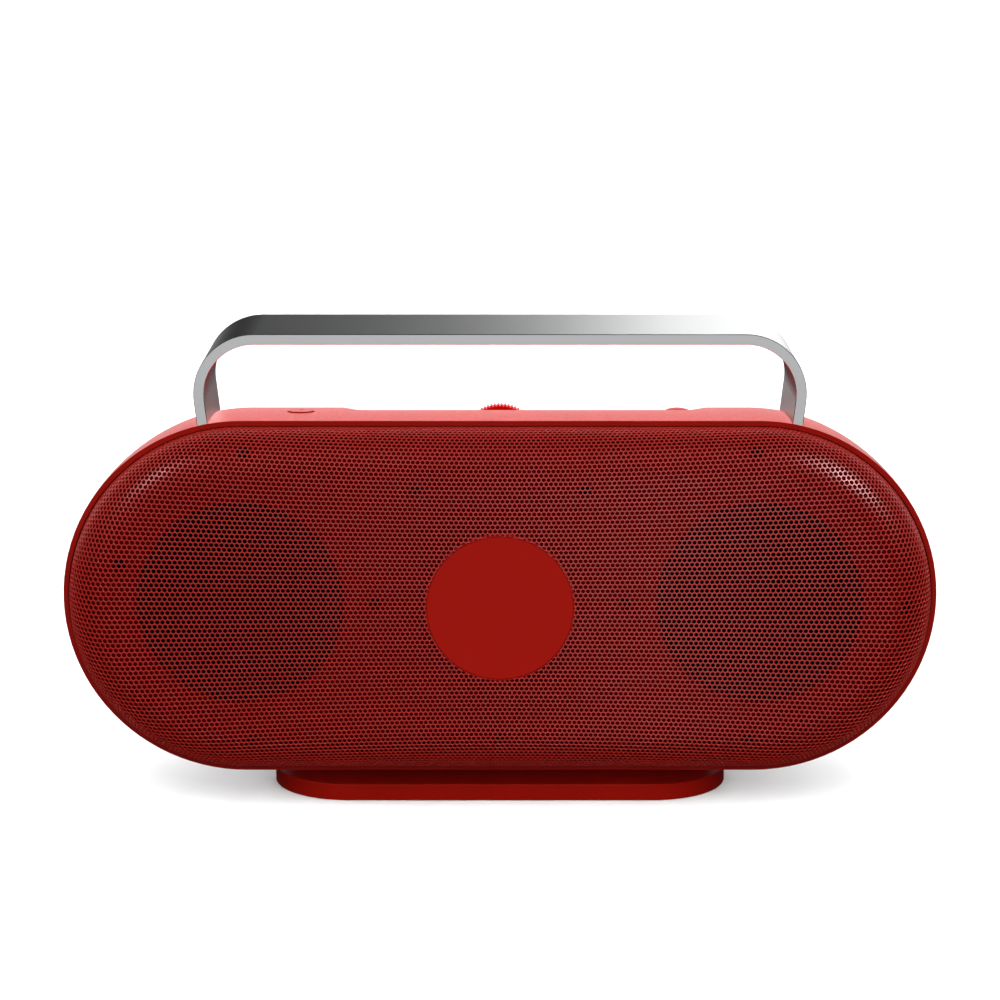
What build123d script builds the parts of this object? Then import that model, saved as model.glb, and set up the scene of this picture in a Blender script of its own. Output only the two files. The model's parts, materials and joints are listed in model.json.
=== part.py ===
"""Portable party speaker: a stadium-shaped body with a perforated front, a carrying handle and a foot.

Millimetres. The body is designed about its own centre line: x runs to the right, y runs back from the
plane of the front rim, z runs up from the centre line. Every finished piece is then shifted once, so
that the speaker stands on z = 0 with the middle of its bounding box above the origin.
"""
import os
from math import atan2, cos, radians, sin, sqrt, tan

from build123d import *

os.makedirs("parts", exist_ok=True)

# ---------------------------------------------------------------- driving dimensions
HALF_SPAN = 107.4          # centre of the body to the axis of each round end
RIM_RADIUS = 75.3          # half height of the body at the front rim
CROWN_RADIUS = 330.0       # the skin curves gently inwards behind the rim
BACK_DEPTH = 84.0          # rim plane to the flat back
BACK_CORNER = 22.0         # round between the skin and the back
WALL = 3.0                 # housing wall
RIM_WIDTH = 2.1            # housing wall where it shows round the grille
BULGE = 18.5               # the grille stands this far in front of the rim plane
CENTRE_HEIGHT = 90.0       # centre line above the floor
HANDLE_TOP = 111.4         # top of the handle above the centre line

# ---------------------------------------------------------------- shared allowances
CUT = 1.0                  # cutters run this far past the faces that they cut
SEAM = 0.5                 # overlap of two solids that are fused
FIT = 0.2                  # clearance between fixed parts
THREAD_RADIUS = 1.2        # pilot hole of the small screws
SMALL_HEAD = (2.2, 1.6)    # radius and height of the small screw heads

# ---------------------------------------------------------------- grille and badge
RIM_CHAMFER = 0.15
GRILLE_GAP = 0.5
GRILLE_THICK = 1.0
GRILLE_RADIUS = RIM_RADIUS - RIM_WIDTH - GRILLE_GAP
GRILLE_SKIRT_END = 4.6
GRILLE_INSIDE = BULGE - GRILLE_THICK
FLAT_RADIUS = GRILLE_RADIUS - BULGE           # where the flat front gives way to the round edge
BADGE_RADIUS = 30.3
BADGE_PROUD = 18.2
BADGE_EDGE = 0.3
BADGE_FLANGE_RADIUS = 31.2
BADGE_FLANGE_THICK = 1.5
BADGE_STUDS = 3
BADGE_STUD_CIRCLE = 27.0
BADGE_STUD_RADIUS = 2.0

# ---------------------------------------------------------------- baffle
BAFFLE_FRONT = 11.0
BAFFLE_THICK = 3.0
BAFFLE_SKIRT = FLAT_RADIUS + BAFFLE_FRONT
BAFFLE_FLANGE_FRONT = 5.0
BAFFLE_FLANGE_BACK = 8.0
BAFFLE_FLANGE_RADIUS = RIM_RADIUS - RIM_WIDTH - 0.4
LEDGE_INNER_RADIUS = 64.0
LEDGE_THICK = 3.0
GASKET_THICK = 0.6
GASKET_INSET = 0.3
LEDGE_FRONT = BAFFLE_FLANGE_BACK + GASKET_THICK
BAFFLE_SCREWS = [(-105.6, 63.5), (105.6, 63.5), (-35.2, 47.9), (35.2, 47.9), (-52.0, 0.0), (52.0, 0.0),
                 (-157.7, 16.6), (169.2, -2.3), (-104.0, -59.3), (104.0, -59.3), (0.0, -59.0)]
SCREW_SEAT = -5.0          # every baffle screw head sits at this depth
BOSS_RADIUS = 4.5
POST_RADIUS = 4.0
SCREW_HEAD = (2.6, 2.0)
SCREW_SHANK_RADIUS = 1.5
SCREW_WELL_RADIUS = 2.9
BAFFLE_SCREW_END = 20.0

# ---------------------------------------------------------------- loudspeaker drivers
DRIVER_X = 107.8
DRIVER_Z = 0.5
DRIVER_SCREWS = 4
DRIVER_SCREW_CIRCLE = 45.4
DRIVER_SCREW_ANGLE = 45
DRIVER_SCREW_RADIUS = 1.1
DRIVER_SCREW_LENGTH = 4.2
DRIVER_HOLE_FLOOR = 0.7    # the baffle left in front of each blind screw hole
CONE_OPENING = 43.0
CONE_RADIUS = 37.4
CONE_THICK = 0.6
CONE_EDGE = 1.4
CONE_NECK_RADIUS = 13.9
CONE_NECK_Y = 8.9
CONE_NECK_THICK = 0.7
DUST_CAP_RADIUS = 14.2
DUST_CAP_BASE = 7.2
DUST_CAP_RISE = 4.0
DUST_CAP_THICK = 0.5
SURROUND_LIP_RADIUS = 35.4
SURROUND_ROLL_RADIUS = 42.6
SURROUND_THICK = 0.6
SURROUND_ROLL = 2.4
BASKET_RADIUS = 47.6
BASKET_FLANGE = 1.5
BASKET_SEAT_RADIUS = 32.0
BASKET_SHOULDER = 11.0
BASKET_METAL = 2.0
BASKET_BACK = 20.0
BASKET_THROAT_RADIUS = 14.0
BASKET_WINDOWS = 6
WINDOW_INNER = 33.0
WINDOW_DEPTHS = (-3.0, 8.0)
WINDOW_WIDTHS = (-10.0, 10.0)
SPIDER_Y = 9.0
SPIDER_THICK = 0.6
SPIDER_RADIUS = 33.8
FORMER_RADIUS = 12.85
FORMER_THICK = 0.4
FORMER_FRONT = 7.4
FORMER_END = 26.0
COIL_FRONT = 19.5
COIL_THICK = 0.3
MAGNET_GAP_RADIUS = 13.45
PLATE_RADIUS = 31.0
PLATE_THICK = 4.0
MAGNET_INNER = 17.0
MAGNET_RADIUS = 32.0
MAGNET_THICK = 10.0
MAGNET_EDGE = 0.8
POLE_RADIUS = 12.1
YOKE_EDGE = 1.0

# ---------------------------------------------------------------- top controls
RECESS_DEPTH = 1.15
RECESS_LEFT = -68.0
RECESS_RIGHT = 89.3
RECESS_RAMP = 6.8
RECESS_Y = 53.0
RECESS_WIDTH = 40.0
RECESS_CORNER = 6.0
DIAL_RADIUS = 16.6
DIAL_TEETH = 68
DIAL_GROOVE_RADIUS = 0.5
DIAL_GROOVE_INSET = 0.2
DIAL_WIDTH = 5.0
DIAL_EDGE = 0.2
DIAL_Z = 56.0
DIAL_GAP = 0.6
DIAL_HUB = 6.0
DIAL_WEB = 13.5
DIAL_WEB_DEPTH = 1.0
SHAFT_RADIUS = 3.0
SHAFT_LENGTH = 11.5
BUSH_RADIUS = 4.5
BUSH_LENGTH = 2.0
BUSH_GAP = 0.8
ENCODER_SIZE = 13.0
ENCODER_BACK = 1.5         # wall of the encoder behind the end of the shaft
BRACKET_HALF_WIDTH = 24.0
BRACKET_DROP = 12.0
BRACKET_THICK = 1.5
POWER_BUTTON = (-84.0, 27.0)
POWER_RADIUS = 5.5
POWER_PROUD = 0.45
POWER_SKIRT = 69.1
POWER_FLANGE = 1.2
POWER_MARK_RADIUS = 0.8
POWER_MARK_Y = 3.8
POWER_MARK_DEPTH = 0.45
PLAY_BUTTON = (76.3, RECESS_Y)
PLAY_RADIUS = 4.8
PLAY_TOP = 70.85
PLAY_DOME = 0.8
BUTTON_GAP = 0.35
BUTTON_FOOT = 66.3         # underside of both buttons
STEM_RADIUS = 1.5
SWITCH_TOP = 65.2
SWITCH_SIZE = 6.0
SWITCH_KEY = 0.8
CONTROL_BOARD_TOP = 61.6
CONTROL_BOARD_X = (-93.0, 86.0)
CONTROL_BOARD_Y = (19.0, 62.0)
CONTROL_BOARD_CORNER = 3.0
CONTROL_NOTCH_X = 19.0
CONTROL_NOTCH_Y = 40.0
CONTROL_CHIP = ((-14.0, 14.0), (26.0, 34.0), 1.4)
CONTROL_SCREWS = [(-60.0, 27.0), (60.0, 27.0), (-60.0, 56.0), (60.0, 56.0)]
CONTROL_SCREW_LENGTH = 6.0
BOARD_THICK = 1.6
PILLAR_RADIUS = 3.2

# ---------------------------------------------------------------- handle
HANDLE_FRONT = 0.3
HANDLE_DEPTH = 53.9
HANDLE_THICK = 4.4
HANDLE_CHAMFER = 0.25
HANDLE_STRAIGHT = 101.3    # the level top runs this far each side of the centre
HANDLE_BEND = 25.3
LEG_LEAN = 6.5             # degrees that each leg leans in towards its root
LEG_ROOT_Z = 45.0
TAB_INSET = 0.7
TAB_FRONT = 14.0
TAB_BACK = 44.0
TAB_BOTTOM = 57.0
TAB_SLOT_BOTTOM = 50.0
TAB_REACH = (100.0, 140.0)
HANDLE_SCREW_Y = (22.0, 36.0)
HANDLE_SCREW_Z = 61.5
HANDLE_SCREW_RADIUS = 1.9
HANDLE_SCREW_HEAD = (3.4, 2.4)
HANDLE_SCREW_REACH = 3.0   # the screws run this far past the clamp into the tab
CLAMP_THICK = 6.0
CLAMP_MARGIN = 2.0

# ---------------------------------------------------------------- foot
FOOT_LENGTH = 195.2
FOOT_WIDTH = 66.0
FOOT_FRONT = 3.0
FOOT_HEIGHT = 7.1
FOOT_TOP_EDGE = 0.4
FOOT_BOTTOM_EDGE = 0.3
PAD_PROUD = 0.2
PAD_THICK = 1.6
PAD_INSET = 4.2
NECK_LENGTH = 186.0
NECK_WIDTH = 22.0
NECK_SHIFT = 15.0
NECK_TOP = -50.0
FOOT_SCREW_X = 56.0
FOOT_SCREW_RADIUS = 2.0
FOOT_SCREW_HEAD = (3.8, 2.6)
FOOT_SCREW_LENGTH = 19.0
FOOT_SCREW_SEAT = 5.5
FOOT_POST_RADIUS = 5.5
FOOT_POST_TOP = -62.0
FOOT_POST_CAP = 1.5        # solid end of each post above its screw hole
FOOT_Y = FOOT_FRONT + FOOT_WIDTH / 2
NECK_Y = FOOT_Y + NECK_SHIFT
FOOT_BOTTOM = -CENTRE_HEIGHT + PAD_PROUD

# ---------------------------------------------------------------- back
PASSIVE_OPENING = 33.0
PASSIVE_FRAME_INNER = 31.0
PASSIVE_FRAME_RADIUS = 40.0
PASSIVE_FRAME_THICK = 2.6
PASSIVE_SCREW_COUNT = 6
PASSIVE_SCREW_CIRCLE = 36.8
PASSIVE_SCREW_ANGLE = 30
PASSIVE_SCREW_LENGTH = 4.4
PASSIVE_LIPS = (21.0, 34.0)
PASSIVE_ROLL = (24.5, 30.0)
PASSIVE_RUBBER = 0.8
PASSIVE_BULGE = 3.0
PASSIVE_DISC_RADIUS = 23.6
PASSIVE_DISC_THICK = 2.4
PASSIVE_DISH_RADIUS = 10.0
PASSIVE_DISH_DEPTH = 0.8
PASSIVE_WEIGHT_RADIUS = 12.0
PASSIVE_WEIGHT_THICK = 5.0
PASSIVE_WEIGHT_SLOPE = 1.0
PORT_X = 78.0
PORT_Z = -14.0
PORT_LENGTH = 38.0
PORT_HEIGHT = 15.0
PORT_DEPTH = 3.4
PORT_WALL = 2.0
PORT_FLOOR = BACK_DEPTH - PORT_DEPTH
COVER_GAP = 0.35
COVER_SEAT = 0.6
COVER_EDGE = 0.8
COVER_GRIP = (9.0, 3.2)
COVER_GRIP_RISE = 3.6
USB_X = PORT_X - 8.0
USB_SHELL = (9.6, 3.9)
USB_MOUTH = (8.9, 3.2)
USB_DEPTH = 7.5
USB_TONGUE_HALF = 3.3
USB_TONGUE_THICK = 0.7
AUX_X = PORT_X + 9.0
AUX_RADIUS = 1.8
AUX_COLLAR = 3.0
AUX_BODY = 6.2
AUX_DEPTH = 10.5
PORT_BOARD_WIDTH = 40.0
PORT_BOARD_FRONT = 56.0

# ---------------------------------------------------------------- battery and main board
CELL_RADIUS = 9.2
CELL_LENGTH = 65.0
CELL_ROWS = ((14.0, -43.0), (33.5, -43.0), (14.0, -23.5), (33.5, -23.5))
CELL_TIP_RADIUS = 3.0
CELL_TIP = 1.0
HOLDER_WALL = 1.6
HOLDER_END = 4.0
HOLDER_END_GAP = 1.2
HOLDER_DROP = 2.0          # the holder's sides end this far below the axes of the upper cells
HOLDER_LEG = (24.0, 30.0)
MAIN_BOARD_Y = 52.0
MAIN_BOARD_X = 44.0
MAIN_BOARD_BOTTOM = -52.0
MAIN_BOARD_TOP = 32.0
MAIN_BOARD_CORNER = 2.5
MAIN_BOARD_SCREWS = [(-40.0, -46.0), (40.0, -46.0), (-40.0, 27.0), (40.0, 27.0)]
MAIN_SCREW_LENGTH = 9.0
CHIPS = ((-20, 18, 9, 9, 1.2), (12, 20, 7, 7, 1.2), (-24, -24, 12, 8, 3.0), (24, -30, 10, 10, 4.5))
CAPACITORS = ((-30, -8), (-20, -8))
CAPACITOR_RADIUS = 4.0
CAPACITOR_HEIGHT = 11.0
SINK_X = (4.0, 36.0)
SINK_Z = (-18.0, 8.0)
SINK_BASE = 2.5
SINK_HEIGHT = 12.0
SINK_FINS = 7
SINK_PITCH = 5.0
SINK_FIN = 1.5

# ---------------------------------------------------------------- derived places
CROWN_CENTRE_Z = RIM_RADIUS - CROWN_RADIUS
CROWN_AXIS = Axis((0, 0, CROWN_CENTRE_Z), (-1, 0, 0))
BACK_INSIDE = BACK_DEPTH - WALL
ABOVE = RIM_RADIUS + 10    # clear above the skin
PLACE = Pos(0, (BULGE - BACK_DEPTH) / 2, CENTRE_HEIGHT)

parts = {}


# ---------------------------------------------------------------- shape helpers
def crown_height(y, inset=0.0):
    """Height of the skin above the centre line, y behind the rim plane."""
    return CROWN_CENTRE_Z + sqrt((CROWN_RADIUS - inset) ** 2 - y ** 2)


def section(y0, y1, z0, z1):
    """A rectangle in the YZ plane."""
    return Plane.YZ * make_face(Polyline((y0, z0), (y1, z0), (y1, z1), (y0, z1), close=True))


def stadium_solid(half_section):
    """Carries a half section round the body: straight along the top and bottom, turned at both ends."""
    right_end = Pos(HALF_SPAN, 0, 0) * revolve(half_section, Axis.Y, 180)
    top = extrude(half_section, HALF_SPAN, both=True)
    return right_end + mirror(right_end, about=Plane.YZ) + top + mirror(top, about=Plane.XY)


def skin(inset, front):
    """The body's full outer form, moved inwards by inset, from y = front to the back."""
    back = BACK_DEPTH - inset
    rim_height = crown_height(0, inset)
    middle = (back / 2, crown_height(back / 2, inset))
    corner = (back, crown_height(back, inset))
    straight = [(back, 0), (front, 0), (front, rim_height)]
    if front < 0:
        straight.append((0, rim_height))
    outline = Polyline(*straight) + ThreePointArc((0, rim_height), middle, corner) + Line(corner, (back, 0))
    face = make_face(outline)
    face = fillet(face.vertices().sort_by_distance((*corner, 0))[0], BACK_CORNER - inset)
    return stadium_solid(Plane.YZ * face)


def cup_section(front, radius, bend, end):
    """Half section of a solid cup in the (y, z) plane: flat front, round edge and straight skirt."""
    face = make_face(Polyline((-front, 0), (-front, radius), (end, radius), (end, 0), close=True))
    return fillet(face.vertices().sort_by_distance((-front, radius, 0))[0], bend)


def domed_cup(front, radius, bend, end, thickness):
    """A shallow cup with a flat front at -front, a round edge and a straight skirt down to y = end."""
    outer = cup_section(front, radius, bend, end)
    inner = cup_section(front - thickness, radius - thickness, bend - thickness, end + CUT)
    return stadium_solid(Plane.YZ * (outer - inner))


def rod(radius, y0, y1, x=0.0, z=0.0):
    """A round bar along y."""
    return Pos(x, (y0 + y1) / 2, z) * Rot(90, 0, 0) * Cylinder(radius, abs(y1 - y0))


def ring(inner, outer, y0, y1):
    """A flat ring about the y axis."""
    return rod(outer, y0, y1) - rod(inner, y0 - CUT, y1 + CUT)


def post(radius, z0, z1, x, y):
    """A round bar along z."""
    return Pos(x, y, (z0 + z1) / 2) * Cylinder(radius, abs(z1 - z0))


def turned(points):
    """A solid turned about the y axis from (radius, y) corners."""
    return revolve(make_face(Polyline(*points, close=True)), Axis.Y, 360)


def block(x_ends, y_ends, z_ends):
    """A box between two values along each axis, given in either order."""
    ends = (x_ends, y_ends, z_ends)
    return Pos(*(sum(pair) / 2 for pair in ends)) * Box(*(abs(pair[1] - pair[0]) for pair in ends))


def upright(outline, z0, z1, x, y):
    """A prism along z."""
    return Pos(x, y, z0) * extrude(outline, z1 - z0)


def back_slot(length, height, y0, y1, x, z):
    """A prism with round ends that runs along y."""
    return Pos(x, y1, z) * Rot(90, 0, 0) * extrude(SlotOverall(length, height), y1 - y0)


def screw(head, shank_radius, shank):
    """A pan-head screw along z with its seat at z = 0 and its shank going down."""
    radius, height = head
    edge_round, socket_radius, socket_depth = 0.4 * height, 0.42 * radius, 0.45 * height
    body = Pos(0, 0, height / 2) * Cylinder(radius, height)
    body = fillet(body.edges().group_by(Axis.Z)[-1], edge_round)
    socket = Pos(0, 0, height) * Cylinder(socket_radius, 2 * socket_depth)
    return body - socket + Pos(0, 0, -shank / 2) * Cylinder(shank_radius, shank)


def on_circle(count, radius, start):
    """Points evenly spaced on a circle in the (x, z) plane."""
    angles = [radians(start + 360 * i / count) for i in range(count)]
    return [(radius * cos(angle), radius * sin(angle)) for angle in angles]


OUTER_FORM = skin(0.0, 0.0)
INNER_FORM = skin(WALL, -CUT)
MID_WALL = skin(WALL / 2, 0.0)
DRIVER_SPOTS = on_circle(DRIVER_SCREWS, DRIVER_SCREW_CIRCLE, DRIVER_SCREW_ANGLE)
PASSIVE_SPOTS = on_circle(PASSIVE_SCREW_COUNT, PASSIVE_SCREW_CIRCLE, PASSIVE_SCREW_ANGLE)
FOOT_SPOTS = [(-FOOT_SCREW_X, NECK_Y), (FOOT_SCREW_X, NECK_Y)]


# ---------------------------------------------------------------- handle
def under_handle(inset):
    """The area under the handle's outline, moved inwards by inset, in the XZ plane."""
    lean = radians(LEG_LEAN)
    middle = radians((90 - LEG_LEAN) / 2)
    bend = HANDLE_BEND - inset
    centre_z = HANDLE_TOP - HANDLE_BEND
    top_z = centre_z + bend
    leg_x = HANDLE_STRAIGHT + bend * cos(lean)
    leg_z = centre_z - bend * sin(lean)
    arc_x = HANDLE_STRAIGHT + bend * cos(middle)
    arc_z = centre_z + bend * sin(middle)
    root_x = leg_x - (leg_z - LEG_ROOT_Z) * tan(lean)
    outline = Polyline((-leg_x, leg_z), (-root_x, LEG_ROOT_Z), (root_x, LEG_ROOT_Z), (leg_x, leg_z))
    outline += ThreePointArc((leg_x, leg_z), (arc_x, arc_z), (HANDLE_STRAIGHT, top_z))
    outline += Line((HANDLE_STRAIGHT, top_z), (-HANDLE_STRAIGHT, top_z))
    outline += ThreePointArc((-HANDLE_STRAIGHT, top_z), (-arc_x, arc_z), (-leg_x, leg_z))
    return make_face(outline)


def handle_band(outer_inset, inner_inset, front, back):
    """The strip between two insets of the handle's outline, from y = front to y = back."""
    strip = under_handle(outer_inset) - under_handle(inner_inset)
    return Pos(0, back, 0) * Rot(90, 0, 0) * extrude(strip, back - front)


def tab_zones(bottom):
    """Both places where the handle's tabs pass through the housing wall."""
    near, far = TAB_REACH
    return [block((side * near, side * far), (0, HANDLE_DEPTH), (bottom, ABOVE)) for side in (-1, 1)]


def leg_middle(z):
    """How far the middle of a leg's thickness is from the centre plane, at height z."""
    lean = radians(LEG_LEAN)
    knee_x = HANDLE_STRAIGHT + HANDLE_BEND * cos(lean)
    knee_z = HANDLE_TOP - HANDLE_BEND - HANDLE_BEND * sin(lean)
    return knee_x - (knee_z - z) * tan(lean) - HANDLE_THICK / 2 / cos(lean)


def make_handle():
    band = handle_band(0, HANDLE_THICK, HANDLE_FRONT, HANDLE_FRONT + HANDLE_DEPTH)
    side_faces = band.faces().sort_by(Axis.Y)
    band = chamfer(side_faces[0].edges() + side_faces[-1].edges(), HANDLE_CHAMFER)
    handle = band - OUTER_FORM
    tabs = handle_band(TAB_INSET, HANDLE_THICK - TAB_INSET, TAB_FRONT, TAB_BACK)
    for zone in tab_zones(TAB_BOTTOM):
        handle += tabs & zone

    leg_x = leg_middle(HANDLE_SCREW_Z)
    tab_face = leg_x - HANDLE_THICK / 2
    cross_hole = Rot(0, 90, 0) * Cylinder(HANDLE_SCREW_RADIUS, 4 * CLAMP_THICK)
    one = screw(HANDLE_SCREW_HEAD, HANDLE_SCREW_RADIUS, CLAMP_THICK + HANDLE_SCREW_REACH)
    screws = []
    for side, name in ((-1, "left"), (1, "right")):
        inside = side * (tab_face - CLAMP_THICK)
        clamp = block((inside, side * (tab_face - TAB_INSET)),
                      (TAB_FRONT + CLAMP_MARGIN, TAB_BACK - CLAMP_MARGIN), (TAB_BOTTOM, ABOVE))
        clamp &= INNER_FORM
        clamp -= handle_band(0, HANDLE_THICK, 0, HANDLE_DEPTH)
        for y in HANDLE_SCREW_Y:
            handle -= Pos(side * leg_x, y, HANDLE_SCREW_Z) * cross_hole
            clamp -= Pos(inside, y, HANDLE_SCREW_Z) * cross_hole
            screws.append(Pos(inside, y, HANDLE_SCREW_Z) * Rot(0, -90 * side, 0) * one)
        parts[f"handle_clamp_{name}"] = clamp
    parts["handle"] = handle
    parts["handle_screws"] = Compound(screws)


# ---------------------------------------------------------------- housing
def recess_cutter():
    """The shallow dish for the controls: it follows the skin, with a ramp at each end."""
    floor_z = RIM_RADIUS - RECESS_DEPTH
    rise = 3 * RECESS_DEPTH
    widen = 3 * RECESS_RAMP
    left, right = RECESS_LEFT + RECESS_RAMP, RECESS_RIGHT - RECESS_RAMP
    dish = Polyline((left, floor_z), (right, floor_z), (right + widen, floor_z + rise),
                    (left - widen, floor_z + rise), close=True)
    dish = revolve(Plane.XZ * make_face(dish), CROWN_AXIS, 30)
    outline = RectangleRounded(RECESS_RIGHT - RECESS_LEFT, RECESS_WIDTH, RECESS_CORNER)
    return dish & upright(outline, TAB_BOTTOM, ABOVE, (RECESS_LEFT + RECESS_RIGHT) / 2, RECESS_Y)


def control_cuts():
    """Openings in the top of the housing for the dial, the two buttons and the handle's tabs."""
    half = DIAL_WIDTH / 2 + DIAL_GAP
    cuts = [recess_cutter(), rod(DIAL_RADIUS + DIAL_GAP, RECESS_Y - half, RECESS_Y + half, 0, DIAL_Z)]
    for radius, spot in ((POWER_RADIUS, POWER_BUTTON), (PLAY_RADIUS, PLAY_BUTTON)):
        cuts.append(post(radius + BUTTON_GAP, TAB_BOTTOM, ABOVE, *spot))
    slots = handle_band(TAB_INSET - FIT, HANDLE_THICK - TAB_INSET + FIT, TAB_FRONT - FIT, TAB_BACK + FIT)
    return cuts + [slots & zone for zone in tab_zones(TAB_SLOT_BOTTOM)]


def screw_holes():
    """Pilot holes in the housing for every screw that is driven into it."""
    holes = [rod(SCREW_SHANK_RADIUS, LEDGE_FRONT - CUT, BAFFLE_SCREW_END, x, z) for x, z in BAFFLE_SCREWS]
    main_end = MAIN_BOARD_Y + MAIN_SCREW_LENGTH + CUT
    holes += [rod(THREAD_RADIUS, MAIN_BOARD_Y, main_end, x, z) for x, z in MAIN_BOARD_SCREWS]
    holes += [rod(THREAD_RADIUS, BACK_INSIDE - CUT, BACK_DEPTH - CUT, x, z) for x, z in PASSIVE_SPOTS]
    board_bottom = CONTROL_BOARD_TOP - BOARD_THICK
    control_end = board_bottom + CONTROL_SCREW_LENGTH + SEAM
    holes += [post(THREAD_RADIUS, board_bottom, control_end, x, y) for x, y in CONTROL_SCREWS]
    foot_end = FOOT_POST_TOP - FOOT_POST_CAP
    holes += [post(FOOT_SCREW_RADIUS, -CENTRE_HEIGHT, foot_end, x, y) for x, y in FOOT_SPOTS]
    return holes


def make_housing():
    shell = OUTER_FORM - INNER_FORM
    shell -= stadium_solid(section(-CUT, LEDGE_FRONT, 0, RIM_RADIUS - RIM_WIDTH))
    shell += stadium_solid(section(LEDGE_FRONT, LEDGE_FRONT + LEDGE_THICK, LEDGE_INNER_RADIUS,
                                   RIM_RADIUS - WALL / 2))
    middle = RIM_RADIUS - RIM_WIDTH / 2
    rim_edges = shell.edges().group_by(Axis.Y)[0]
    outer_rim = [edge for edge in rim_edges.filter_by(GeomType.CIRCLE) if edge.radius > middle]
    outer_rim += [edge for edge in rim_edges.filter_by(GeomType.LINE) if abs(edge.center().Z) > middle]
    shell = chamfer(outer_rim, RIM_CHAMFER)

    board_back = MAIN_BOARD_Y + BOARD_THICK
    posts = [rod(POST_RADIUS, LEDGE_FRONT, BACK_DEPTH, x, z) & MID_WALL for x, z in BAFFLE_SCREWS]
    posts += [rod(POST_RADIUS, board_back, BACK_DEPTH - CUT, x, z) for x, z in MAIN_BOARD_SCREWS]
    posts += [post(FOOT_POST_RADIUS, FOOT_POST_TOP, -RIM_RADIUS, x, y) & MID_WALL for x, y in FOOT_SPOTS]
    posts += [post(PILLAR_RADIUS, CONTROL_BOARD_TOP, RIM_RADIUS, x, y) & MID_WALL for x, y in CONTROL_SCREWS]
    shell += posts
    shell += back_slot(PORT_LENGTH + 2 * PORT_WALL, PORT_HEIGHT + 2 * PORT_WALL, PORT_FLOOR - PORT_WALL,
                       BACK_DEPTH - CUT, PORT_X, PORT_Z)

    usb_length, usb_height = USB_SHELL
    cuts = control_cuts() + screw_holes()
    cuts.append(rod(PASSIVE_OPENING, BACK_INSIDE - CUT, BACK_DEPTH + CUT))
    cuts.append(back_slot(PORT_LENGTH, PORT_HEIGHT, PORT_FLOOR, BACK_DEPTH + CUT, PORT_X, PORT_Z))
    cuts.append(back_slot(usb_length + 2 * FIT, usb_height + 2 * FIT, PORT_FLOOR - USB_DEPTH, BACK_DEPTH,
                          USB_X, PORT_Z))
    cuts.append(rod(AUX_COLLAR + FIT, PORT_FLOOR - AUX_DEPTH, BACK_DEPTH, AUX_X, PORT_Z))
    parts["rear_housing"] = shell - cuts


# ---------------------------------------------------------------- front
def make_grille_and_badge():
    grille = domed_cup(BULGE, GRILLE_RADIUS, BULGE, GRILLE_SKIRT_END, GRILLE_THICK)
    parts["front_grille"] = grille - rod(BADGE_RADIUS + FIT, -BULGE - CUT, CUT - GRILLE_INSIDE)

    badge = rod(BADGE_RADIUS, -BADGE_PROUD, FIT - GRILLE_INSIDE)
    badge = fillet(badge.edges().group_by(Axis.Y)[0], BADGE_EDGE)
    badge += rod(BADGE_FLANGE_RADIUS, -GRILLE_INSIDE, BADGE_FLANGE_THICK - GRILLE_INSIDE)
    badge += [rod(BADGE_STUD_RADIUS, SEAM - GRILLE_INSIDE, -BAFFLE_FRONT, x, z)
              for x, z in on_circle(BADGE_STUDS, BADGE_STUD_CIRCLE, 90)]
    parts["grille_badge"] = badge


def make_baffle():
    baffle = domed_cup(BAFFLE_FRONT, BAFFLE_SKIRT, BAFFLE_FRONT, BAFFLE_FLANGE_BACK, BAFFLE_THICK)
    baffle += stadium_solid(section(BAFFLE_FLANGE_FRONT, BAFFLE_FLANGE_BACK, BAFFLE_SKIRT - SEAM,
                                    BAFFLE_FLANGE_RADIUS))
    cup = cup_section(BAFFLE_FRONT, BAFFLE_SKIRT, BAFFLE_FRONT, BAFFLE_FLANGE_BACK)
    within = stadium_solid(Plane.YZ * cup)
    baffle += [rod(BOSS_RADIUS, -BAFFLE_FRONT, BAFFLE_FLANGE_BACK, x, z) & within for x, z in BAFFLE_SCREWS]
    hole_radius = SCREW_SHANK_RADIUS + FIT / 2
    cuts = [rod(SCREW_WELL_RADIUS, -BAFFLE_FRONT - CUT, SCREW_SEAT, x, z) for x, z in BAFFLE_SCREWS]
    cuts += [rod(hole_radius, SCREW_SEAT - CUT, BAFFLE_FLANGE_BACK + CUT, x, z) for x, z in BAFFLE_SCREWS]
    for driver_x in (-DRIVER_X, DRIVER_X):
        cuts.append(rod(CONE_OPENING, -BAFFLE_FRONT - CUT, 0, driver_x, DRIVER_Z))
        cuts += [rod(DRIVER_SCREW_RADIUS, DRIVER_HOLE_FLOOR - BAFFLE_FRONT, 0, driver_x + x, DRIVER_Z + z)
                 for x, z in DRIVER_SPOTS]
    parts["front_baffle"] = baffle - cuts

    gasket = stadium_solid(section(BAFFLE_FLANGE_BACK, LEDGE_FRONT, LEDGE_INNER_RADIUS + GASKET_INSET,
                                   BAFFLE_FLANGE_RADIUS - GASKET_INSET))
    parts["baffle_gasket"] = gasket - [rod(POST_RADIUS + GASKET_INSET, BAFFLE_FLANGE_BACK - CUT,
                                           LEDGE_FRONT + CUT, x, z) for x, z in BAFFLE_SCREWS]

    length = BAFFLE_SCREW_END - SCREW_SEAT - SEAM
    one = Rot(90, 0, 0) * screw(SCREW_HEAD, SCREW_SHANK_RADIUS, length)
    parts["baffle_screws"] = Compound([Pos(x, SCREW_SEAT, z) * one for x, z in BAFFLE_SCREWS])


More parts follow.
